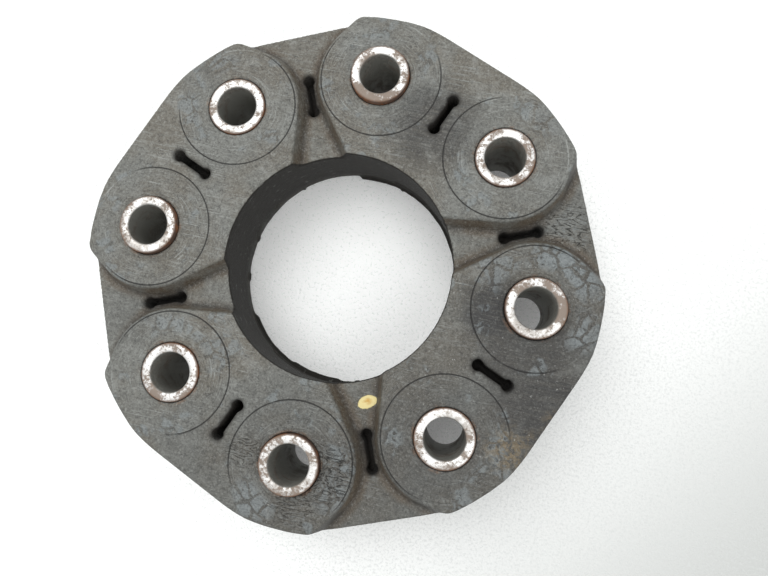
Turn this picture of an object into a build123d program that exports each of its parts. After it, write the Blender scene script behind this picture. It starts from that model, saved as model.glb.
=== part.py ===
"""Eight-hole flexible disc coupling for a propeller shaft.

One moulded rubber disc holds eight steel sleeves on a bolt circle.  Inside it a
wound cord loop ties each sleeve to the next one, by turns in a front and in a
back layer.  Over the links whose loop lies in the far layer, each face of the
disc is sunk.

Frame: origin at the disc's centre, half way through its thickness.  +Z is the
disc's axis, towards the front.  Sleeve 1 lies on +X, and sleeves and links are
counted anticlockwise seen from the front.  Millimetres and degrees.
"""
from build123d import *
import os
from math import cos, radians, sin

# Rubber disc
disc_thickness = 33.2
boss_dia = 38.6                 # round each sleeve, where the links beside it are sunk
flat_cover = 21.6               # rubber from the line between two sleeves out to the flat
hole_front_dia = 69.2
hole_back_dia = 72.0            # the centre hole has mould draft

# Sleeves
sleeve_count = 8
bolt_circle_dia = 120.0
bore_dia = 12.2
sleeve_dia = 18.0
proud_end = 2.5                 # how far a sleeve stands out of the face it leans to
flush_end = 0.3                 # and out of the other face

# Sunk links, where a face drops between two bosses
recess_depth = 5.5
recess_flare = 15.0             # each side opens by this angle towards the centre hole
recess_leave = 60.0             # from a sleeve's outermost point to where a side runs off to the rim
wall_share = 0.5                # of the half gap between two bosses, taken by each sloping wall

# Slots into the links, blind from each face
slot_outward_shift = 0.9        # from the line between two sleeves to the slot's middle
slot_length = 13.8
slot_end_width = 3.6            # across the flats of its eight-sided ends
slot_waist = 2.2
slot_web = 4.0                  # rubber left between the front and the back slot

# Cord loops
loop_build = 5.0                # wound thickness on the sleeve
loop_flats = 6                  # flats round each end of the winding's outside
loop_cover = 4.6                # rubber between a loop and the raised face over it
loop_layer_gap = 3.0            # rubber between the front and the back layer

past = 10.0                     # how far a cutter runs past the surface it cuts

half_thickness = disc_thickness / 2
sleeve_length = disc_thickness + proud_end + flush_end
sleeve_shift = (proud_end - flush_end) / 2
sleeve_step = 360.0 / sleeve_count
bolt_radius = bolt_circle_dia / 2
half_pitch = bolt_radius * sin(radians(sleeve_step / 2))
link_radius = bolt_radius * cos(radians(sleeve_step / 2))
rim_radius = bolt_radius + boss_dia / 2
recess_wall_run = wall_share * (half_pitch - boss_dia / 2)
loop_height = half_thickness - loop_cover - loop_layer_gap / 2


def sleeve_place(index):
    return Rot(0, 0, index * sleeve_step) * Pos(bolt_radius, 0, 0)


def link_turn(index):
    """Turn that brings +X to the middle of the link from one sleeve to the next."""
    return Rot(0, 0, (index + 0.5) * sleeve_step)


def stands_at_front(index):
    """Even sleeves stand proud of the front face, odd ones of the back face."""
    return index % 2 == 0


def sunk_at_front(index):
    """Even links hold their loop in the back layer and are sunk at the front."""
    return index % 2 == 0


def make_sleeve(index):
    """Steel sleeve with a plain bore."""
    tube = Cylinder(sleeve_dia / 2, sleeve_length) - Cylinder(bore_dia / 2, sleeve_length)
    shift = sleeve_shift if stands_at_front(index) else -sleeve_shift
    return sleeve_place(index) * Pos(0, 0, shift) * tube


def loop_outside():
    """Plan of a loop's outside: straight sides, and flats round each end."""
    flat_angle = 180.0 / loop_flats
    corner_radius = (sleeve_dia / 2 + loop_build) / cos(radians(flat_angle / 2))
    end_centre = Vector(0, half_pitch)
    corners = []
    for flat in range(loop_flats):
        corner = Vector(corner_radius, 0).rotate(Axis.Z, (flat + 0.5) * flat_angle)
        corners.append(end_centre + corner)
    other_end = [-corner for corner in corners]
    return make_face(Polyline(*corners, *other_end, close=True))


def make_loop(index):
    """Cord wound round two neighbouring sleeves, as the solid its turns fill."""
    inside = SlotCenterToCenter(2 * half_pitch, sleeve_dia, rotation=90)
    wound = extrude(loop_outside() - inside, loop_height)
    gap = loop_layer_gap / 2
    low = -gap - loop_height if sunk_at_front(index) else gap
    return link_turn(index) * Pos(link_radius, 0, low) * wound


def disc_blank():
    """Round disc with one flat over each link, and the drafted centre hole."""
    disc = Cylinder(rim_radius, disc_thickness)
    flats = RegularPolygon(link_radius + flat_cover, sleeve_count, major_radius=False)
    prism = Pos(0, 0, -half_thickness) * extrude(flats, disc_thickness)
    hole = Cone(hole_back_dia / 2, hole_front_dia / 2, disc_thickness)
    return (disc & prism) - hole


def recess_outline(boss_radius):
    """Plan of a sunk link, round both bosses, from the centre hole out past the rim."""
    centre = Vector(link_radius, half_pitch)
    to_leave = Vector(1, 0).rotate(Axis.Z, sleeve_step / 2 - recess_leave)
    to_flare = Vector(0, -1).rotate(Axis.Z, -recess_flare)
    leave = centre + to_leave * boss_radius
    nearest = centre + Vector(0, -boss_radius)
    touch = centre + to_flare * boss_radius
    outer = leave + to_leave.rotate(Axis.Z, 90) * 2 * past
    inner = touch + to_flare.rotate(Axis.Z, -90) * link_radius
    side = Line(outer, leave) + ThreePointArc(leave, nearest, touch) + Line(touch, inner)
    ends = Line(inner, Vector(inner.X, -inner.Y)) + Line(outer, Vector(outer.X, -outer.Y))
    return make_face(side + mirror(side, Plane.XZ) + ends)


def recess_cutter(index):
    """What a sunk link lacks on its sunk face: the sides close in towards the floor."""
    at_face = recess_outline(boss_dia / 2)
    at_floor = recess_outline(boss_dia / 2 + recess_wall_run)
    cutter = loft([at_floor, Pos(0, 0, recess_depth) * at_face])
    turn_over = Rot(0, 0, 0) if sunk_at_front(index) else Rot(180, 0, 0)
    return link_turn(index) * turn_over * Pos(0, 0, half_thickness - recess_depth) * cutter


def slot_cutter(index):
    """One slot down from the front face and one up from the back, with wider ends."""
    end_offset = (slot_length - slot_end_width) / 2
    outline = Rectangle(2 * end_offset, slot_waist)
    for side in (-1, 1):
        end = RegularPolygon(slot_end_width / 2, 8, major_radius=False)
        outline += Pos(side * end_offset, 0) * end
    front_slot = Pos(0, 0, slot_web / 2) * extrude(outline, half_thickness + past)
    both = front_slot + mirror(front_slot, Plane.XY)
    return link_turn(index) * Pos(link_radius + slot_outward_shift, 0, 0) * both


def make_rubber_disc(loops):
    """The moulding, with room for the sleeves and loops that it is moulded round."""
    disc = disc_blank()
    for index, loop in enumerate(loops):
        disc -= recess_cutter(index)
        disc -= slot_cutter(index)
        disc -= sleeve_place(index) * Cylinder(sleeve_dia / 2, disc_thickness + 2 * past)
        disc -= loop
    return disc


os.makedirs("parts", exist_ok=True)
cord_loops = [make_loop(index) for index in range(sleeve_count)]
export_step(make_rubber_disc(cord_loops), "parts/rubber_disc.step")
for index in range(sleeve_count):
    export_step(make_sleeve(index), f"parts/sleeve_{index + 1}.step")
    export_step(cord_loops[index], f"parts/cord_loop_{index + 1}.step")
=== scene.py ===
import math
import bpy
from mathutils import Matrix, Vector
from mathutils import noise as noiseField


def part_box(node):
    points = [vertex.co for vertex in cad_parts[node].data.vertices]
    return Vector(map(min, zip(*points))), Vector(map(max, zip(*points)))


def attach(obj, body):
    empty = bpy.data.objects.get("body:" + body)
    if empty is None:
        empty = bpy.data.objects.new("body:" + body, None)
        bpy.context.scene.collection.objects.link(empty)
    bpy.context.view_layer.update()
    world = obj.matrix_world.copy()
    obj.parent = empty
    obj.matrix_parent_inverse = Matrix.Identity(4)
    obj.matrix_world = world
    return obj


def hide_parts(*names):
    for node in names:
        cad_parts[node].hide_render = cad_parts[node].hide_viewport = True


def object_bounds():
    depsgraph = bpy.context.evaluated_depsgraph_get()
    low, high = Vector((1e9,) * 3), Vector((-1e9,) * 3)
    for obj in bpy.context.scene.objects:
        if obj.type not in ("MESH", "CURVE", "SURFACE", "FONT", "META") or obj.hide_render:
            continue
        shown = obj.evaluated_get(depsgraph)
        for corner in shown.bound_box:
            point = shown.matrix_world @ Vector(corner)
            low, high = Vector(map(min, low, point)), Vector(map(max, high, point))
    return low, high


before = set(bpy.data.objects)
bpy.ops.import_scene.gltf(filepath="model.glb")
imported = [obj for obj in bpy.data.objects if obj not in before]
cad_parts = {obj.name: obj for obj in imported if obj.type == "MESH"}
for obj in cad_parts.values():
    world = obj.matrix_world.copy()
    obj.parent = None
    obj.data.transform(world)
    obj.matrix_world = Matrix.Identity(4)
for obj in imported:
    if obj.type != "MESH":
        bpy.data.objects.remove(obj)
cadLow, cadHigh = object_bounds()
print("frame loaded")

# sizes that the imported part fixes, in metres
sleeveCount = 8
stepAngle = 2 * math.pi / sleeveCount
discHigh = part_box("rubber_disc")[1]
rimRadius = discHigh.x
discTop = discHigh.z
sleeveLow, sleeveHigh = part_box("sleeve_1")
sleeveRadius = (sleeveHigh.x - sleeveLow.x) / 2
boltRadius = (sleeveHigh.x + sleeveLow.x) / 2
bossRadius = rimRadius - boltRadius
halfPitch = boltRadius * math.sin(stepAngle / 2)
linkRadius = boltRadius * math.cos(stepAngle / 2)
floorZ = cadLow.z
perMetre = 1000                 # the looks are worked out in millimetres
sharpAngle = math.radians(40)   # edges sharper than this are bevelled


def deselect():
    bpy.ops.object.select_all(action="DESELECT")


def activate(piece):
    deselect()
    piece.select_set(True)
    bpy.context.view_layer.objects.active = piece


def named(name):
    piece = bpy.context.active_object
    piece.name = name
    piece.data.name = name
    bpy.ops.object.transform_apply(location=True, rotation=True, scale=True)
    return piece


def addCylinder(name, radius, low, high, sides=96, x=0.0, y=0.0):
    deselect()
    bpy.ops.mesh.primitive_cylinder_add(vertices=sides, radius=radius, depth=high - low,
                                        location=(x, y, (low + high) / 2))
    return named(name)


def applyModifier(piece, kind, **settings):
    activate(piece)
    modifier = piece.modifiers.new("shape", kind)
    for key, value in settings.items():
        setattr(modifier, key, value)
    bpy.ops.object.modifier_apply(modifier=modifier.name)


def combine(piece, tool, operation="DIFFERENCE"):
    applyModifier(piece, "BOOLEAN", operation=operation, solver="EXACT", object=tool)
    bpy.data.objects.remove(tool)


def faceOutwards(piece):
    activate(piece)
    bpy.ops.object.mode_set(mode="EDIT")
    bpy.ops.mesh.select_all(action="SELECT")
    bpy.ops.mesh.normals_make_consistent(inside=False)
    bpy.ops.object.mode_set(mode="OBJECT")


def turnMesh(piece, angle, over=False):
    if over:
        piece.data.transform(Matrix.Rotation(math.pi, 4, "X"))
    piece.data.transform(Matrix.Rotation(angle, 4, "Z"))
    piece.data.update()


def copyOf(piece, name, place):
    double = piece.copy()
    double.data = piece.data.copy()
    double.name = name
    double.data.name = name
    double.data.transform(place)
    bpy.context.collection.objects.link(double)
    return double


def joinTo(piece, others):
    deselect()
    for other in others:
        other.select_set(True)
    piece.select_set(True)
    bpy.context.view_layer.objects.active = piece
    bpy.ops.object.join()


def onFront(index):
    # even sleeves stand proud of the front face, and even links are sunk there
    return index % 2 == 0


# camera, where the disc is looked at from slightly to the right and below
cameraView = {"place": (0.03753, -0.01869, 0.20540), "turn": (5.924, 5.449, 12.85), "lens": 30.05,
              "sensor": 36, "near": 0.01, "far": 10}

bpy.ops.object.camera_add(location=cameraView["place"],
                          rotation=[math.radians(a) for a in cameraView["turn"]])
camera = bpy.context.active_object
camera.data.lens = cameraView["lens"]
camera.data.sensor_width = cameraView["sensor"]
camera.data.clip_start = cameraView["near"]
camera.data.clip_end = cameraView["far"]
bpy.context.scene.camera = camera


# the moulded rubber disc
rubberValues = {
    "flatRadius": 0.07703, "flatEase": 0.0015, "rimRound": 0.0007, "rimSides": 480,
    "holeFront": 0.0346, "holeBack": 0.0369, "holePast": 0.004, "holeSides": 240,
    "recessDepth": 0.0055, "wallRun": 0.00183, "flare": math.radians(15), "leave": math.radians(55),
    "overShare": 0.4, "bossSteps": 16, "hornRound": 0.0050, "hornSteps": 8,
    "pastHorn": 0.012, "pastRim": 0.015,
    "slotMiddle": linkRadius + 0.0009, "slotLength": 0.0138, "slotEnd": 0.0036, "slotWaist": 0.0022,
    "slotWeb": 0.004, "slotPast": 0.01, "slotSides": 24,
    "collarRadius": 0.0100, "collarHeight": 0.0007, "collarSides": 64,
    "voxel": 0.00056, "softenTimes": 4, "softenFactor": 0.5, "keepShare": 0.33,
}


def easedRim(angle):
    # the smaller of flat and round rim, with a smooth change from one to the other
    toLink = (angle - stepAngle / 2) / stepAngle
    off = (toLink - round(toLink)) * stepAngle
    flat = rubberValues["flatRadius"] / math.cos(off)
    ease = rubberValues["flatEase"]
    blend = max(ease - abs(flat - rimRadius), 0) / ease
    return min(flat, rimRadius) - blend * blend * ease / 4


def arcPoints(centre, radius, start, end, steps):
    return [centre + radius * Vector((math.cos(start + (end - start) * i / steps),
                                      math.sin(start + (end - start) * i / steps)))
            for i in range(steps + 1)]


def recessOutline(radius):
    # one side of a sunk link: in from outside the rim, round the boss and on to the centre hole.
    # The horn is the corner that a boss's side leaves at the rim, and the other side mirrors it.
    centre = Vector((linkRadius, halfPitch))
    start = stepAngle / 2 - rubberValues["leave"]
    end = -math.pi / 2 - rubberValues["flare"]
    around = arcPoints(centre, radius, start, end, rubberValues["bossSteps"])
    outward = Vector((-math.sin(start), math.cos(start)))
    along = Vector((-math.cos(rubberValues["flare"]), math.sin(rubberValues["flare"])))
    horn = rubberValues["hornRound"]
    base = around[0] - horn * Vector((math.cos(start), math.sin(start)))
    lean = base.dot(outward)
    run = -lean + math.sqrt(lean * lean + (rimRadius - horn) ** 2 - base.dot(base))
    hornCentre = base + outward * run
    hornEnd = math.atan2(hornCentre.y, hornCentre.x)
    hornArc = arcPoints(hornCentre, horn, hornEnd, start, rubberValues["hornSteps"])
    off = hornArc[0] + rubberValues["pastHorn"] * Vector((-math.sin(hornEnd), math.cos(hornEnd)))
    upper = [Vector((rimRadius + rubberValues["pastRim"], off.y)), off] + hornArc + around
    upper.append(around[-1] + along * linkRadius)
    return upper + [Vector((p.x, -p.y)) for p in reversed(upper)]


def makeRecess(index):
    # its sides keep their slope above the face, so that the cut runs clear of it
    over = rubberValues["overShare"]
    floorLine = recessOutline(bossRadius + rubberValues["wallRun"])
    faceLine = recessOutline(bossRadius - rubberValues["wallRun"] * over)
    low = discTop - rubberValues["recessDepth"]
    high = discTop + rubberValues["recessDepth"] * over
    deselect()
    bpy.ops.mesh.primitive_circle_add(vertices=len(floorLine), radius=0.01, fill_type="NGON")
    cutter = named("recess")
    for vertex, point in zip(cutter.data.vertices, floorLine):
        vertex.co = (point.x, point.y, low)
    bpy.ops.object.mode_set(mode="EDIT")
    bpy.ops.mesh.select_all(action="SELECT")
    bpy.ops.mesh.extrude_region_move(TRANSFORM_OT_translate={"value": (0, 0, high - low)})
    bpy.ops.object.mode_set(mode="OBJECT")
    for vertex, point in zip(list(cutter.data.vertices)[len(floorLine):], faceLine):
        vertex.co = (point.x, point.y, high)
    faceOutwards(cutter)
    turnMesh(cutter, (index + 0.5) * stepAngle, over=not onFront(index))
    return cutter


def makeSlot(index, over):
    # a waist and two wider round ends, blind at the web in the middle of the disc
    middle = rubberValues["slotMiddle"]
    low, high = rubberValues["slotWeb"] / 2, discTop + rubberValues["slotPast"]
    half = (rubberValues["slotLength"] - rubberValues["slotEnd"]) / 2
    deselect()
    bpy.ops.mesh.primitive_cube_add(size=1, location=(middle, 0, (low + high) / 2),
                                    scale=(2 * half, rubberValues["slotWaist"], high - low))
    cutters = [named("slotWaist")]
    for side in (-1, 1):
        cutters.append(addCylinder("slotEnd", rubberValues["slotEnd"] / 2, low, high,
                                   rubberValues["slotSides"], middle + side * half))
    for cutter in cutters:
        turnMesh(cutter, (index + 0.5) * stepAngle, over)
    return cutters


def makeBlank():
    blank = addCylinder("rubberDisc", rimRadius, -discTop, discTop, rubberValues["rimSides"])
    for vertex in blank.data.vertices:
        reach = math.hypot(vertex.co.x, vertex.co.y)
        grow = easedRim(math.atan2(vertex.co.y, vertex.co.x)) / reach
        vertex.co.x *= grow
        vertex.co.y *= grow
    applyModifier(blank, "BEVEL", width=rubberValues["rimRound"], segments=2,
                  limit_method="ANGLE", angle_limit=sharpAngle)
    return blank


def makeRubber():
    rubber = makeBlank()
    slope = (rubberValues["holeBack"] - rubberValues["holeFront"]) / (2 * discTop)
    past = rubberValues["holePast"]
    reach = discTop + past
    deselect()
    bpy.ops.mesh.primitive_cone_add(vertices=rubberValues["holeSides"], depth=2 * reach,
                                    radius1=rubberValues["holeBack"] + slope * past,
                                    radius2=rubberValues["holeFront"] - slope * past)
    combine(rubber, named("hole"))
    for index in range(sleeveCount):
        combine(rubber, makeRecess(index))
        for over in (False, True):
            for cutter in makeSlot(index, over):
                combine(rubber, cutter)
    for index in range(sleeveCount):
        # a low collar of rubber stands round the proud end of each sleeve
        x, y = boltRadius * math.cos(index * stepAngle), boltRadius * math.sin(index * stepAngle)
        up = discTop + rubberValues["collarHeight"]
        low, high = (0.0, up) if onFront(index) else (-up, 0.0)
        collar = addCylinder("collar", rubberValues["collarRadius"], low, high,
                             rubberValues["collarSides"], x, y)
        combine(rubber, collar, "UNION")
        combine(rubber, addCylinder("sleeveHole", sleeveRadius, -reach, reach, x=x, y=y))
    applyModifier(rubber, "REMESH", mode="VOXEL", voxel_size=rubberValues["voxel"])
    applyModifier(rubber, "SMOOTH", factor=rubberValues["softenFactor"],
                  iterations=rubberValues["softenTimes"])
    applyModifier(rubber, "DECIMATE", ratio=rubberValues["keepShare"])
    return rubber


# ragged lip round the back of the centre hole, which closes the mouths of the links sunk there.
# Its edge is a list of how far round each stretch runs, in degrees, and its radius
lipValues = {"root": 0.0378, "wall": 0.03668, "high": 0.0062, "edgeHigh": 0.0007, "slopeHigh": 0.0006,
             "thin": 0.0002, "sides": 360, "easeDegrees": 2.5,
             "wave": 0.00016, "longWaves": 5, "shortWaves": 17, "shortShare": 0.7,
             "nib": 0.0004, "nibs": 11, "nibFrom": 0.42,
             "edges": ((50, 0.0358), (97, 0.0359), (128, 0.0374), (212, 0.0368), (247, 0.03575),
                       (275, 0.0351), (361, 0.0358))}


def lipEdge(angle):
    # each stretch starts from the radius of the one before
    turn = math.degrees(angle) % 360
    edges = lipValues["edges"]
    number = next(place for place, edge in enumerate(edges) if turn < edge[0])
    start = edges[number - 1][0] if number else 0
    before, reach = edges[number - 1][1], edges[number][1]
    share = min((turn - start) / lipValues["easeDegrees"], 1.0)
    return before + (reach - before) * share


def makeLip():
    deselect()
    bpy.ops.mesh.primitive_torus_add(major_segments=lipValues["sides"], minor_segments=6,
                                     major_radius=lipValues["wall"], minor_radius=0.0003)
    lip = named("lip")
    for number, vertex in enumerate(lip.data.vertices):
        angle = math.atan2(vertex.co.y, vertex.co.x)
        spot = Vector((math.cos(angle), math.sin(angle), 0.3))
        long = noiseField.noise(spot * lipValues["longWaves"])
        short = noiseField.noise(spot * lipValues["shortWaves"])
        atNib = noiseField.noise(spot * lipValues["nibs"] + Vector((5, 2, 1))) > lipValues["nibFrom"]
        edge = lipEdge(angle) + lipValues["wave"] * (long + lipValues["shortShare"] * short)
        edge = min(edge - lipValues["nib"] * atNib, lipValues["root"] - lipValues["thin"])
        inner = max(edge, lipValues["wall"])
        low, high = -discTop, lipValues["high"] - discTop
        step = low + lipValues["edgeHigh"]
        reach, up = ((lipValues["root"], low), (lipValues["root"], high), (inner, high),
                     (inner, step + lipValues["slopeHigh"]), (edge, step), (edge, low))[number % 6]
        vertex.co = (reach * math.cos(angle), reach * math.sin(angle), up)
    faceOutwards(lip)
    return lip


rubber = makeRubber()
joinTo(rubber, [makeLip()])
activate(rubber)
bpy.ops.object.shade_smooth()
print("rubber disc made", len(rubber.data.polygons), "faces")


# steel sleeves
sleeveValues = {"bore": 0.0061, "chamfer": 0.0006, "chamferSteps": 3, "sides": 96, "turnEach": 1.7}


def makeSleeve():
    length = sleeveHigh.z - sleeveLow.z
    sleeve = addCylinder("sleeve", sleeveRadius, -length / 2, length / 2, sleeveValues["sides"])
    bpy.ops.object.mode_set(mode="EDIT")
    bpy.ops.mesh.select_mode(type="FACE")
    bpy.ops.mesh.select_all(action="DESELECT")
    bpy.ops.object.mode_set(mode="OBJECT")
    for face in sleeve.data.polygons:
        face.select = abs(face.normal.z) > 0.9
    bpy.ops.object.mode_set(mode="EDIT")
    bpy.ops.mesh.inset(thickness=sleeveRadius - sleeveValues["bore"])
    bpy.ops.mesh.bridge_edge_loops()
    bpy.ops.object.mode_set(mode="OBJECT")
    faceOutwards(sleeve)
    applyModifier(sleeve, "BEVEL", width=sleeveValues["chamfer"],
                  segments=sleeveValues["chamferSteps"],
                  limit_method="ANGLE", angle_limit=sharpAngle)
    activate(sleeve)
    bpy.ops.object.shade_smooth_by_angle(angle=math.radians(35))
    return sleeve


firstSleeve = makeSleeve()
sleeves = []
for index in range(sleeveCount):
    low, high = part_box(f"sleeve_{index + 1}")
    turn = Matrix.Rotation(sleeveValues["turnEach"] * index, 4, "Z")
    place = Matrix.Translation((low + high) / 2) @ turn
    sleeves.append(copyOf(firstSleeve, f"steelSleeve{index + 1}", place))
bpy.data.objects.remove(firstSleeve)
print("sleeves made")


# wound cord loops, hidden in the rubber
cordValues = {"turnsHigh": 8, "turnsWide": 4, "build": 0.0050, "groove": 0.00022,
              "pointsPerTurn": 3, "endSteps": 30, "sideSteps": 6}


def woundSection(number, high):
    # one point on the outline of the winding, with a groove between neighbouring turns
    turn, part = divmod(number, cordValues["pointsPerTurn"])
    along = turn + part / cordValues["pointsPerTurn"]
    groove = cordValues["groove"] if part == 0 else 0.0
    tall, wide = cordValues["turnsHigh"], cordValues["turnsWide"]
    build, stepZ, stepX = cordValues["build"], high / tall, cordValues["build"] / wide
    if turn < tall:
        return build - groove, along * stepZ
    if turn < tall + wide:
        return build - (along - tall) * stepX, high - groove
    if turn < 2 * tall + wide:
        return groove, high - (along - tall - wide) * stepZ
    return (along - 2 * tall - wide) * stepX, groove


def racetrack(number):
    # a point on the sleeves' side of the loop, and the way out from it
    steps = cordValues["endSteps"] + cordValues["sideSteps"]
    half, step = divmod(number, steps)
    turn = math.pi * min(step / cordValues["endSteps"], 1.0) + math.pi * half
    past = max(step - cordValues["endSteps"], 0) / cordValues["sideSteps"]
    middle = Vector((0, halfPitch * (1 - 2 * half) * (1 - 2 * past)))
    out = Vector((math.cos(turn), math.sin(turn)))
    return middle + out * sleeveRadius, out


def makeWoundLoop(index):
    low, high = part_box(f"cord_loop_{index + 1}")
    rows = 2 * (cordValues["turnsHigh"] + cordValues["turnsWide"]) * cordValues["pointsPerTurn"]
    columns = 2 * (cordValues["endSteps"] + cordValues["sideSteps"])
    deselect()
    bpy.ops.mesh.primitive_torus_add(major_segments=columns, minor_segments=rows,
                                     major_radius=0.02, minor_radius=0.003)
    loop = named(f"woundLoop{index + 1}")
    for number, vertex in enumerate(loop.data.vertices):
        column, row = divmod(number, rows)
        foot, out = racetrack(column)
        across, up = woundSection(row, high.z - low.z)
        point = foot + out * across
        vertex.co = (linkRadius + point.x, point.y, low.z + up)
    turnMesh(loop, (index + 0.5) * stepAngle)
    faceOutwards(loop)
    bpy.ops.object.shade_smooth_by_angle(angle=math.radians(60))
    return loop


woundLoops = [makeWoundLoop(index) for index in range(sleeveCount)]
print("cord loops made")


# shader helpers: a Field is one socket, and maths on Fields adds Math nodes
class Field:
    def __init__(self, look, socket):
        self.look = look
        self.socket = socket

    def __add__(self, other):
        return self.look.math("ADD", self, other)

    __radd__ = __add__

    def __sub__(self, other):
        return self.look.math("SUBTRACT", self, other)

    def __rsub__(self, other):
        return self.look.math("SUBTRACT", other, self)

    def __mul__(self, other):
        return self.look.math("MULTIPLY", self, other)

    __rmul__ = __mul__

    def __truediv__(self, other):
        return self.look.math("DIVIDE", self, other)

    def __abs__(self):
        return self.look.math("ABSOLUTE", self)


class Look:
    def __init__(self, name, **constants):
        self.material = bpy.data.materials.new(name)
        self.material.use_nodes = True
        self.tree = self.material.node_tree
        self.tree.nodes.clear()
        self.shader = self.node("ShaderNodeBsdfPrincipled")
        self.output = self.node("ShaderNodeOutputMaterial")
        self.tree.links.new(self.shader.outputs[0], self.output.inputs["Surface"])
        for key, value in constants.items():
            self.shader.inputs[key.replace("_", " ")].default_value = value

    def node(self, kind, settings=None, sockets=None):
        made = self.tree.nodes.new(kind)
        for key, value in (settings or {}).items():
            setattr(made, key, value)
        for key, value in (sockets or {}).items():
            self.feed(made.inputs[key], value)
        return made

    def feed(self, socket, value):
        if isinstance(value, Field):
            self.tree.links.new(value.socket, socket)
        else:
            socket.default_value = value

    def math(self, operation, *values):
        made = self.node("ShaderNodeMath", {"operation": operation}, dict(enumerate(values)))
        return Field(self, made.outputs[0])

    def place(self, scale=1000.0):
        where = Field(self, self.node("ShaderNodeTexCoord").outputs["Object"])
        return self.stretch(where, (scale, scale, scale))

    def stretch(self, vector, scale):
        made = self.node("ShaderNodeVectorMath", {"operation": "MULTIPLY"}, {0: vector, 1: scale})
        return Field(self, made.outputs[0])

    def turned(self, vector, angle, scale):
        made = self.node("ShaderNodeMapping", None,
                         {"Vector": vector, "Rotation": (0, 0, angle), "Scale": scale})
        return Field(self, made.outputs[0])

    def split(self, vector):
        made = self.node("ShaderNodeSeparateXYZ", None, {0: vector})
        return [Field(self, output) for output in made.outputs]

    def joined(self, x, y, z=0.0):
        made = self.node("ShaderNodeCombineXYZ", None, {0: x, 1: y, 2: z})
        return Field(self, made.outputs[0])

    def noise(self, vector, scale=1.0, detail=3.0, roughness=0.5, distortion=0.0):
        made = self.node("ShaderNodeTexNoise", None, {
            "Vector": vector, "Scale": scale, "Detail": detail, "Roughness": roughness,
            "Distortion": distortion})
        return Field(self, made.outputs[0])

    def cracks(self, vector, scale):
        made = self.node("ShaderNodeTexVoronoi", {"feature": "DISTANCE_TO_EDGE"},
                         {"Vector": vector, "Scale": scale})
        return Field(self, made.outputs["Distance"])

    def rise(self, value, low, high):
        made = self.node("ShaderNodeMapRange", {"interpolation_type": "SMOOTHSTEP"},
                         {"Value": value, "From Min": low, "From Max": high})
        return Field(self, made.outputs[0])

    def fall(self, value, low, high):
        return 1 - self.rise(value, low, high)

    def mix(self, mask, base, over):
        made = self.node("ShaderNodeMix", {"data_type": "RGBA"})
        self.feed(made.inputs[0], mask)
        for socket, colour in ((made.inputs[6], base), (made.inputs[7], over)):
            self.feed(socket, colour if isinstance(colour, Field) else (*colour, 1.0))
        return Field(self, made.outputs[2])

    def facing(self):
        normal = Field(self, self.node("ShaderNodeNewGeometry").outputs["Normal"])
        return self.split(normal)

    def finish(self, colour, roughness=None, metallic=None, height=None, bumpDepth=0.0001):
        self.feed(self.shader.inputs["Base Color"], colour)
        if roughness is not None:
            self.feed(self.shader.inputs["Roughness"], roughness)
        if metallic is not None:
            self.feed(self.shader.inputs["Metallic"], metallic)
        if height is not None:
            bump = self.node("ShaderNodeBump", None, {"Height": height, "Distance": bumpDepth})
            self.tree.links.new(bump.outputs[0], self.shader.inputs["Normal"])
        return self.material


# worn grey rubber
rubberLook = {
    # colours; the dark grey serves both dark marks and painted shade
    "plain": (0.148, 0.151, 0.137), "warm": (0.140, 0.130, 0.106), "pale": (0.290, 0.300, 0.282),
    "darkAndShade": (0.026, 0.026, 0.026), "wall": (0.014, 0.012, 0.009), "flake": (0.205, 0.235, 0.245),
    "foot": (0.105, 0.078, 0.050), "tan": (0.170, 0.130, 0.075), "rust": (0.200, 0.095, 0.040),
    "line": (0.014, 0.014, 0.013), "bright": (0.46, 0.47, 0.45), "soot": (0.018, 0.017, 0.016),
    "paint": (0.76, 0.65, 0.31), "paintBrown": (0.58, 0.33, 0.07),
    # how strongly each kind of mark shows
    "scratches": 0.80, "roundScuffs": 0.50, "slantShade": 0.42, "flakes": 0.70, "flakeEdges": 0.45,
    "wrinkles": 0.80, "crests": 0.35, "feet": 0.85, "cornerShades": 0.45, "stains": 0.45, "gapShades": 0.80,
    "paleGrain": 0.50, "darkGrain": 0.50, "glints": 0.45, "rimShade": 0.55, "wallScuffs": 0.30,
    "halo": 0.82, "ring": 0.85,
    # places and sizes in millimetres, and the bump's depth in metres
    "ringRadius": 18.6, "ringWidth": 0.13, "dabX": 17.7, "dabY": -37.8, "bumpDepth": 0.00030,
}
# soft patches in millimetres: x, y, inner radius, outer radius, strength
darkPatches = ((48, -3, 4, 13, 0.95), (60, -12, 8, 22, 0.65), (69, -28, 6, 22, 0.80),
               (19, 48, 6, 20, 0.75), (40, -44, 10, 24, 0.28), (8, -56, 5, 14, 0.25),
               (-8, -50, 8, 20, 0.20), (-60, -27, 6, 16, 0.25), (-30, -62, 6, 18, 0.22))
flakePatches = ((66, 13, 6, 15, 1.0), (73, -4, 2, 8, 0.9), (-51, 54, 2, 9, 0.7), (52, 56, 3, 9, 0.5),
                (-8, -72, 3, 10, 0.8), (14, -66, 2, 8, 0.6))
wrinklePatches = ((66, 26, 4, 11, 1.0), (12, -60, 5, 11, 1.0), (4, -70, 3, 9, 0.7),
                  (-14, -60, 2, 8, 0.7))
tanPatches = ((61, -41, 2, 9, 0.8), (72, -30, 1, 5, 0.5))


def aroundSleeve(look, x, y):
    # radius and angle in the disc, and the way from the nearest sleeve's axis
    radius = look.math("SQRT", x * x + y * y)
    angle = look.math("ARCTAN2", y, x)
    near = angle - look.math("ROUND", angle / stepAngle) * stepAngle
    besideX = radius * look.math("COSINE", near) - boltRadius * perMetre
    besideY = radius * look.math("SINE", near)
    out = look.math("SQRT", besideX * besideX + besideY * besideY)
    return radius, angle, besideX, besideY, out


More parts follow.
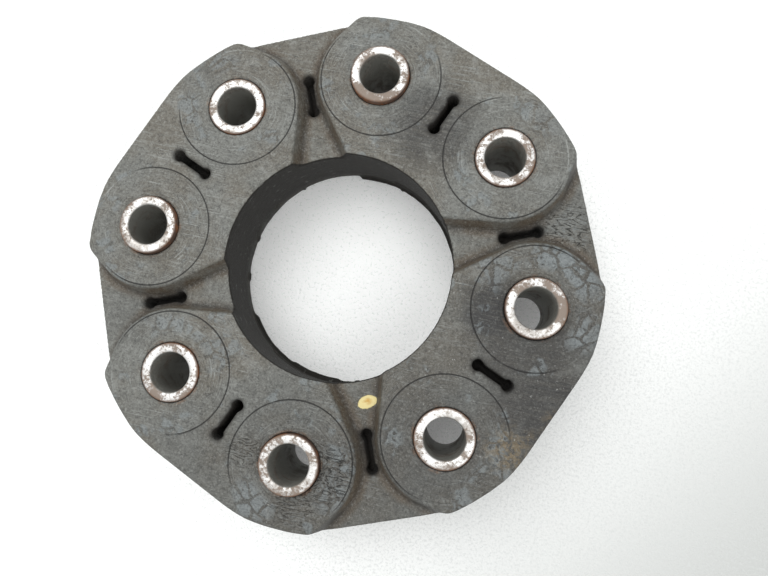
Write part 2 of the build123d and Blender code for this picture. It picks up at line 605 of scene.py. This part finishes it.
def flankDistance(look, alongLink, acrossLink, out):
    # distance from the sleeve's middle, measured square to the side of a sunk link
    fromX = alongLink - linkRadius * perMetre
    fromY = abs(acrossLink) - halfPitch * perMetre
    flare, leave = rubberValues["flare"], stepAngle / 2 - rubberValues["leave"]
    inward = fromX * -math.cos(flare) + fromY * math.sin(flare)
    toFlare = fromX * -math.sin(flare) + fromY * -math.cos(flare)
    outward = fromX * -math.sin(leave) + fromY * math.cos(leave)
    toLeave = fromX * math.cos(leave) + fromY * math.sin(leave)
    flank = out + look.math("GREATER_THAN", inward, 0.0) * (toFlare - out)
    return flank + look.math("GREATER_THAN", outward, 0.0) * (toLeave - out)


class RubberSpot:
    # where a spot of the rubber lies, in millimetres, and the noises that its marks share
    def __init__(self, look):
        self.place = look.place()
        self.x, self.y, self.z = look.split(self.place)
        self.height = abs(self.z)
        around = aroundSleeve(look, self.x, self.y)
        self.radius, self.angle, self.besideX, self.besideY, self.out = around
        linkTurn = look.math("FRACT", self.angle / stepAngle + sleeveCount) - 0.5
        self.alongLink = self.radius * look.math("COSINE", linkTurn * stepAngle)
        self.acrossLink = self.radius * look.math("SINE", linkTurn * stepAngle)
        self.flank = flankDistance(look, self.alongLink, self.acrossLink, self.out)
        self.facingX, self.facingY, self.facingZ = look.facing()
        self.flat = look.rise(abs(self.facingZ), 0.75, 0.95)
        self.raised = look.rise(self.height, 14.5, 15.9)
        self.patches = look.noise(self.place, 0.045, 3, 0.55)
        self.blotch = look.noise(self.place, 0.16, 4, 0.6, 0.6)
        self.mottle = look.noise(self.place, 0.55, 3, 0.65, 0.3)
        self.grain = look.noise(self.place, 1.5, 3, 0.75, 0.8)
        self.straight = look.noise(look.turned(self.place, math.radians(33), (0.10, 2.6, 1)), 1.0, 2, 0.6)
        self.wobble = (self.blotch - 0.5) * 12


def patchSum(look, at, patches, wobble):
    total = None
    for centreX, centreY, inner, outer, strength in patches:
        offX, offY = at.x - centreX, at.y - centreY
        away = look.math("SQRT", offX * offX + offY * offY) + wobble
        patch = look.fall(away, inner, outer) * strength
        total = patch if total is None else look.math("MAXIMUM", total, patch)
    return total


def groundColour(look, at):
    colour = look.mix(look.rise(at.patches, 0.40, 0.60), rubberLook["plain"], rubberLook["warm"])
    colour = look.mix(look.rise(at.blotch, 0.50, 0.74) * 0.45, colour, rubberLook["pale"])
    colour = look.mix(look.rise(at.mottle, 0.50, 0.72) * 0.36, colour, rubberLook["pale"])
    return look.mix(look.fall(at.mottle, 0.28, 0.48) * 0.44, colour, rubberLook["darkAndShade"])


def addScratches(look, at, colour):
    # scuffs that run round each sleeve, and straight scratches across the faces
    turn = look.math("ARCTAN2", at.besideY, at.besideX)
    rounds = look.noise(look.joined(at.out * 2.3, turn * 1.3, at.z * 0.1), 1.0, 3, 0.65)
    fineRounds = look.noise(look.joined(at.out * 4.5, turn * 2.6, 7.0), 1.0, 2, 0.6)
    crossing = look.noise(look.turned(at.place, math.radians(-58), (0.13, 3.0, 1)), 1.0, 2, 0.6)
    scratched = look.rise(look.noise(at.place, 0.06, 2, 0.5), 0.42, 0.60)
    onBoss = look.fall(at.flank, 18.0, 18.8)
    roundMark = look.rise(rounds, 0.54, 0.66) * onBoss * look.rise(at.blotch, 0.38, 0.56)
    roundDark = look.fall(fineRounds, 0.36, 0.48) * onBoss * look.rise(at.patches, 0.35, 0.6)
    lineMark = look.rise(at.straight, 0.55, 0.66) * scratched
    crossMark = look.rise(crossing, 0.61, 0.74) * (1 - scratched)
    scratch = look.math("MAXIMUM", roundMark, look.math("MAXIMUM", lineMark, crossMark)) * at.flat
    colour = look.mix(scratch * rubberLook["scratches"], colour, rubberLook["pale"])
    return look.mix(roundDark * rubberLook["roundScuffs"], colour, rubberLook["darkAndShade"]), scratch


def shadeAndDarkPatches(look, at):
    # painted shade: the disc is darker towards its lower right, where the light falls off, and it is also
    # darker in patches
    dark = patchSum(look, at, darkPatches, at.wobble)
    slantShade = look.rise((at.x - at.y) * math.sqrt(0.5), -10.0, 65.0) * rubberLook["slantShade"]
    dark = dark * (0.60 + 0.40 * look.rise(at.straight, 0.35, 0.55))
    dark = 1 - (1 - dark) * (1 - slantShade)
    return dark + (at.patches - 0.5) * 0.25


def addFlakes(look, at, colour):
    # pale flakes lifted near the outside of the bosses, with dark cracks between them
    cellPlace = look.joined(at.x + (at.mottle - 0.5) * 2.0, at.y + (at.blotch - 0.5) * 5.0, at.z)
    cell = look.cracks(cellPlace, 0.19)
    spread = look.rise(look.noise(at.place, 0.10, 3, 0.6), 0.53, 0.60) * 0.7
    chosen = look.math("MAXIMUM", patchSum(look, at, flakePatches, at.wobble * 0.5), spread)
    band = look.rise(at.out, 10.5, 14.0) * look.fall(at.flank, 18.9, 19.9) * at.raised
    flake = look.rise(cell, 0.04, 0.09) * look.rise(at.mottle, 0.30, 0.44) * band * chosen
    flakeEdge = look.fall(cell, 0.015, 0.05) * band * chosen
    colour = look.mix(flake * rubberLook["flakes"], colour, rubberLook["flake"])
    return look.mix(flakeEdge * rubberLook["flakeEdges"], colour, rubberLook["darkAndShade"]), flake


def addWrinkles(look, at, colour):
    # wavy wrinkles in a few places
    waves = look.noise(look.turned(at.place, math.radians(-52), (0.10, 0.34, 1)), 1.0, 3, 0.5, 0.4)
    ripple = abs(look.math("FRACT", waves * 8) - 0.5)
    wrinkled = patchSum(look, at, wrinklePatches, at.wobble * 0.4) * at.flat
    wrinkle = look.fall(ripple, 0.02, 0.11) * wrinkled * look.rise(at.mottle, 0.36, 0.50)
    crest = look.rise(ripple, 0.34, 0.48) * wrinkled
    colour = look.mix(wrinkle * rubberLook["wrinkles"], colour, rubberLook["line"])
    return look.mix(crest * rubberLook["crests"], colour, rubberLook["flake"]), wrinkle


def addDirtAndShade(look, at, colour):
    # brown dirt along the feet of the sunk sides, painted shade in the corner at their feet, and a tan
    # smear on one link
    lowered = look.fall(at.height, 15.2, 16.3)
    foot = look.rise(at.flank, 18.8, 19.8) * look.fall(at.flank, 21.6, 24.5) * lowered
    foot = foot * (0.35 + 0.65 * look.rise(look.noise(at.place, 0.09, 3, 0.5), 0.36, 0.56))
    colour = look.mix(foot * rubberLook["feet"], colour, rubberLook["foot"])
    cornerShade = look.rise(at.flank, 20.2, 21.2) * look.fall(at.flank, 21.3, 23.0) * lowered
    colour = look.mix(cornerShade * rubberLook["cornerShades"], colour, rubberLook["darkAndShade"])
    tan = patchSum(look, at, tanPatches, at.wobble * 0.7) * look.rise(at.mottle, 0.42, 0.58)
    return look.mix(tan, colour, rubberLook["tan"])


def addStainsAndGapShade(look, at, colour):
    # rust washed out round the sleeves, and painted shade in the gap beside the steel
    patchy = look.rise(look.noise(at.place, 0.25, 3, 0.6), 0.50, 0.64)
    stain = look.fall(at.out, 9.4, 10.4) * patchy
    colour = look.mix(stain * rubberLook["stains"], colour, rubberLook["rust"])
    gapShade = look.fall(abs(at.out - sleeveRadius * perMetre), 0.15, 0.5)
    return look.mix(gapShade * rubberLook["gapShades"], colour, rubberLook["line"])


def addGrain(look, at, colour, dark):
    paleShare = rubberLook["paleGrain"] - dark * 0.35
    colour = look.mix(look.rise(at.grain, 0.51, 0.68) * paleShare, colour, rubberLook["pale"])
    colour = look.mix(look.fall(at.grain, 0.34, 0.50) * rubberLook["darkGrain"], colour, rubberLook["line"])
    glint = look.rise(look.noise(at.place, 1.3, 2, 0.5, 0.5), 0.68, 0.76)
    glint = glint * look.rise(at.patches, 0.40, 0.60)
    return look.mix(glint * rubberLook["glints"], colour, rubberLook["bright"])


def addWalls(look, at, colour):
    # painted shade on the disc's own side and on the wall of the centre hole, which keeps pale scuffs
    outside = look.fall(abs(at.facingZ), 0.35, 0.75) * look.rise(at.radius, 70.0, 74.0)
    colour = look.mix(outside * rubberLook["rimShade"], colour, rubberLook["darkAndShade"])
    inward = (at.facingX * at.x + at.facingY * at.y) / at.radius * -1
    inside = look.fall(at.radius, 36.4, 37.6) * look.rise(inward, 0.50, 0.75)
    scuffPlace = look.joined(at.angle * 12, at.z * 0.5, 3.0)
    scuff = look.rise(look.noise(scuffPlace, 1.0, 4, 0.65), 0.58, 0.72)
    shadedWallColour = look.mix(scuff * rubberLook["wallScuffs"], rubberLook["wall"], rubberLook["pale"])
    return look.mix(inside, colour, shadedWallColour), inside


def addSlotHalo(look, at, colour):
    # soot round the slots, wider at their ends
    fromMiddle = abs(at.alongLink - rubberValues["slotMiddle"] * perMetre)
    endOffset = (rubberValues["slotLength"] - rubberValues["slotEnd"]) / 2 * perMetre
    pastEnd = look.math("MAXIMUM", fromMiddle - endOffset, 0.0)
    fromSlot = look.math("SQRT", pastEnd * pastEnd + at.acrossLink * at.acrossLink)
    endWide = look.rise(fromMiddle, 2.5, 5.5) * 0.8
    halo = look.fall(fromSlot - endWide + (at.mottle - 0.5) * 1.0, 0.4, 2.6)
    return look.mix(halo * rubberLook["halo"], colour, rubberLook["soot"]), halo


def addRing(look, at, colour):
    # the thin moulded line round each sleeve, worn away towards the rim
    fromLine = abs(at.out - rubberLook["ringRadius"])
    line = look.fall(fromLine, rubberLook["ringWidth"] * 0.6, rubberLook["ringWidth"] * 1.8)
    line = line * at.raised * look.fall(at.besideX, 3.0, 13.0) * look.rise(at.blotch, 0.20, 0.45)
    return look.mix(line * rubberLook["ring"], colour, rubberLook["line"]), line


def addPaint(look, at, colour):
    # a dab of marking paint on one sunk link
    dabX, dabY = at.x - rubberLook["dabX"], at.y - rubberLook["dabY"]
    leanX, leanY = dabX * 0.82 + dabY * 0.57, dabY * 0.82 - dabX * 0.57
    dab = look.math("SQRT", leanX * leanX * 0.75 + leanY * leanY * 1.7) + (at.mottle - 0.5) * 1.2
    core = look.fall(dab, 0.6, 1.8) * look.rise(at.blotch, 0.35, 0.60)
    dab = look.fall(dab, 2.35, 2.7) * look.rise(at.z, 9.0, 10.0)
    paint = look.mix(core, rubberLook["paint"], rubberLook["paintBrown"])
    return look.mix(dab, colour, paint), dab


def makeRubberLook():
    look = Look("wornRubber")
    at = RubberSpot(look)
    dark = shadeAndDarkPatches(look, at)
    colour, scratch = addScratches(look, at, groundColour(look, at))
    # painted shade towards the lower right, and the darker patches
    colour = look.mix(dark, colour, rubberLook["darkAndShade"])
    colour, flake = addFlakes(look, at, colour)
    colour, wrinkle = addWrinkles(look, at, colour)
    colour = addDirtAndShade(look, at, colour)
    colour = addStainsAndGapShade(look, at, colour)
    colour = addGrain(look, at, colour, dark)
    colour, inside = addWalls(look, at, colour)
    colour, halo = addSlotHalo(look, at, colour)
    colour, line = addRing(look, at, colour)
    colour, dab = addPaint(look, at, colour)
    roughness = 0.58 - flake * 0.10 - scratch * 0.08 + (at.grain - 0.5) * 0.3 + halo * 0.3 + inside * 0.2
    rise = (at.grain * 0.9 + at.mottle * 0.8 + at.blotch * 0.6 - scratch * 0.25 - line * 2.2
            + dab * 0.8 + flake * 0.8 - wrinkle * 1.6)
    return look.finish(colour, roughness, None, rise, rubberLook["bumpDepth"])


# face-turned steel with rust
steelLook = {
    "bright": (0.74, 0.735, 0.72), "dull": (0.40, 0.375, 0.345), "rust": (0.180, 0.125, 0.088),
    "rustDark": (0.12, 0.075, 0.055), "inside": (0.26, 0.26, 0.235), "side": (0.19, 0.080, 0.035),
    "rim": (0.17, 0.095, 0.060),
    "dullShare": 0.85, "rustShare": 0.75, "pits": 0.85, "rimShare": 0.80, "boreRust": 0.5,
    "bumpDepth": 0.00010,
}


def makeSteelLook():
    look = Look("rustySteel")
    place = look.place()
    x, y, z = look.split(place)
    out = aroundSleeve(look, x, y)[-1]
    blotch = look.noise(place, 0.20, 4, 0.6, 0.4)
    speck = look.noise(place, 1.1, 3, 0.65)
    fine = look.noise(place, 3.0, 2, 0.6)
    patch = look.noise(place, 0.07, 2, 0.5)
    proud = look.rise(abs(z), 17.5, 18.3)  # the proud ends are rustier

    dull = look.rise(blotch + (speck - 0.5) * 0.4 + proud * 0.07, 0.46, 0.60) * steelLook["dullShare"]
    colour = look.mix(dull, steelLook["bright"], steelLook["dull"])
    rustField = blotch + (speck - 0.5) * 0.9 + (patch - 0.5) * 0.8 + proud * 0.06
    rust = look.rise(rustField, 0.51, 0.68) * steelLook["rustShare"]
    colour = look.mix(rust, colour, steelLook["rust"])
    pits = look.fall(speck + (fine - 0.5) * 0.3, 0.30, 0.40)
    colour = look.mix(pits * steelLook["pits"], colour, steelLook["rustDark"])

    # the chamfer outside, then the side, then the bore
    edge = look.rise(out + (speck - 0.5) * 1.2, 8.15, 8.75)
    edgeColour = look.mix(look.rise(speck, 0.40, 0.62), steelLook["rim"], steelLook["rust"])
    colour = look.mix(edge * steelLook["rimShare"], colour, edgeColour)
    sideColour = look.mix(look.rise(blotch, 0.45, 0.6), steelLook["rustDark"], steelLook["side"])
    colour = look.mix(look.rise(out, 8.70, 8.95), colour, sideColour)
    bore = look.fall(out, 6.05, 6.5)
    boreRust = look.rise(blotch, 0.45, 0.70) * steelLook["boreRust"]
    colour = look.mix(bore, colour, look.mix(boreRust, steelLook["inside"], steelLook["rustDark"]))

    roughness = 0.42 + rust * 0.35 + (speck - 0.5) * 0.2 + bore * 0.1
    metallic = 0.60 - rust * 0.45 - edge * 0.3 - bore * 0.1
    rise = speck * 0.5 + rust * 0.6 + fine * 0.2
    return look.finish(colour, roughness, metallic, rise, steelLook["bumpDepth"])


# polyester cord, wound side by side
cordLook = {"plain": (0.62, 0.56, 0.42), "darkAndShade": (0.30, 0.26, 0.19), "bumpDepth": 0.0002}


def makeCordLook():
    look = Look("woundCord")
    place = look.place()
    loopLow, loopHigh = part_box("cord_loop_1")
    pitch = (loopHigh.z - loopLow.z) * perMetre / cordValues["turnsHigh"]
    turns = look.math("SINE", look.split(place)[2] * (2 * math.pi / pitch))
    fibre = look.noise(place, 1.5, 3, 0.6)
    # the colour is darker in the grooves between turns, a painted shade, and varies with the fibre
    colour = look.mix(look.rise(turns + fibre - 0.5, -0.9, 0.6), cordLook["darkAndShade"], cordLook["plain"])
    return look.finish(colour, 0.8 + (fibre - 0.5) * 0.2, None, turns * 0.5 + fibre, cordLook["bumpDepth"])


def dress(piece, material):
    piece.data.materials.clear()
    piece.data.materials.append(material)


rubberMaterial = makeRubberLook()
steelMaterial = makeSteelLook()
cordMaterial = makeCordLook()
dress(rubber, rubberMaterial)
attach(rubber, "root")
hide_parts("rubber_disc")
for index, sleeve in enumerate(sleeves):
    dress(sleeve, steelMaterial)
    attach(sleeve, "root")
    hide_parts(f"sleeve_{index + 1}")
for index, loop in enumerate(woundLoops):
    dress(loop, cordMaterial)
    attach(loop, "root")
    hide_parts(f"cord_loop_{index + 1}")
print("materials made")


# floor and light
stageValues = {"floorSize": 6.0, "floor": (0.94, 0.955, 0.945), "floorShade": (0.42, 0.435, 0.42),
               "dimFrom": 30.0, "dimTo": 180.0, "dimRight": 0.8, "dimDown": 0.6,
               "grainDark": (0.52, 0.54, 0.53), "grain": 0.55, "glow": 0.13, "world": 0.64,
               "key": 6.4, "keySize": 0.9, "keyPlace": (-0.28, 0.26, 0.95),
               "fill": 2.6, "fillSize": 0.7, "fillPlace": (0.45, -0.30, 0.85)}


def makeFloor():
    deselect()
    bpy.ops.mesh.primitive_plane_add(size=stageValues["floorSize"], location=(0, 0, floorZ))
    floor = named("floor")
    look = Look("paleFloor", Roughness=0.9)
    place = look.place()
    x, y = look.split(place)[:2]
    fine = look.noise(place, 1.1, 3, 0.75)
    # painted shade: the floor darkens towards the lower right, where the light falls off
    away = look.rise(x * stageValues["dimRight"] - y * stageValues["dimDown"],
                     stageValues["dimFrom"], stageValues["dimTo"])
    colour = look.mix(away, stageValues["floor"], stageValues["floorShade"])
    colour = look.mix(look.fall(fine, 0.34, 0.54) * stageValues["grain"], colour, stageValues["grainDark"])
    look.finish(colour, None, None, fine, 0.0004)
    # a weak glow, seen by the camera and in the steel, lifts the floor without lighting the disc
    path = look.node("ShaderNodeLightPath")
    seen = look.math("MAXIMUM", Field(look, path.outputs["Is Camera Ray"]),
                     look.math("MAXIMUM", Field(look, path.outputs["Is Glossy Ray"]),
                               Field(look, path.outputs["Is Transmission Ray"])))
    glow = look.node("ShaderNodeEmission", None, {"Color": (1, 1, 1, 1), "Strength": stageValues["glow"]})
    both = look.node("ShaderNodeAddShader")
    look.tree.links.new(look.shader.outputs[0], both.inputs[0])
    look.tree.links.new(glow.outputs[0], both.inputs[1])
    choice = look.node("ShaderNodeMixShader", None, {0: seen})
    look.tree.links.new(look.shader.outputs[0], choice.inputs[1])
    look.tree.links.new(both.outputs[0], choice.inputs[2])
    look.tree.links.new(choice.outputs[0], look.output.inputs["Surface"])
    dress(floor, look.material)


def addLamp(name, place, size, power):
    bpy.ops.object.light_add(type="AREA", location=place)
    lamp = bpy.context.active_object
    lamp.name = name
    lamp.data.shape = "DISK"
    lamp.data.size = size
    lamp.data.energy = power
    lamp.rotation_mode = "QUATERNION"
    lamp.rotation_quaternion = (-Vector(place)).to_track_quat("-Z", "Y")


makeFloor()
addLamp("keyLamp", stageValues["keyPlace"], stageValues["keySize"], stageValues["key"])
addLamp("fillLamp", stageValues["fillPlace"], stageValues["fillSize"], stageValues["fill"])
world = bpy.data.worlds.new("paleRoom")
world.use_nodes = True
world.node_tree.nodes["Background"].inputs[0].default_value = (1, 1, 1, 1)
world.node_tree.nodes["Background"].inputs[1].default_value = stageValues["world"]
bpy.context.scene.world = world
bpy.context.scene.view_settings.view_transform = "Standard"
print("stage made")
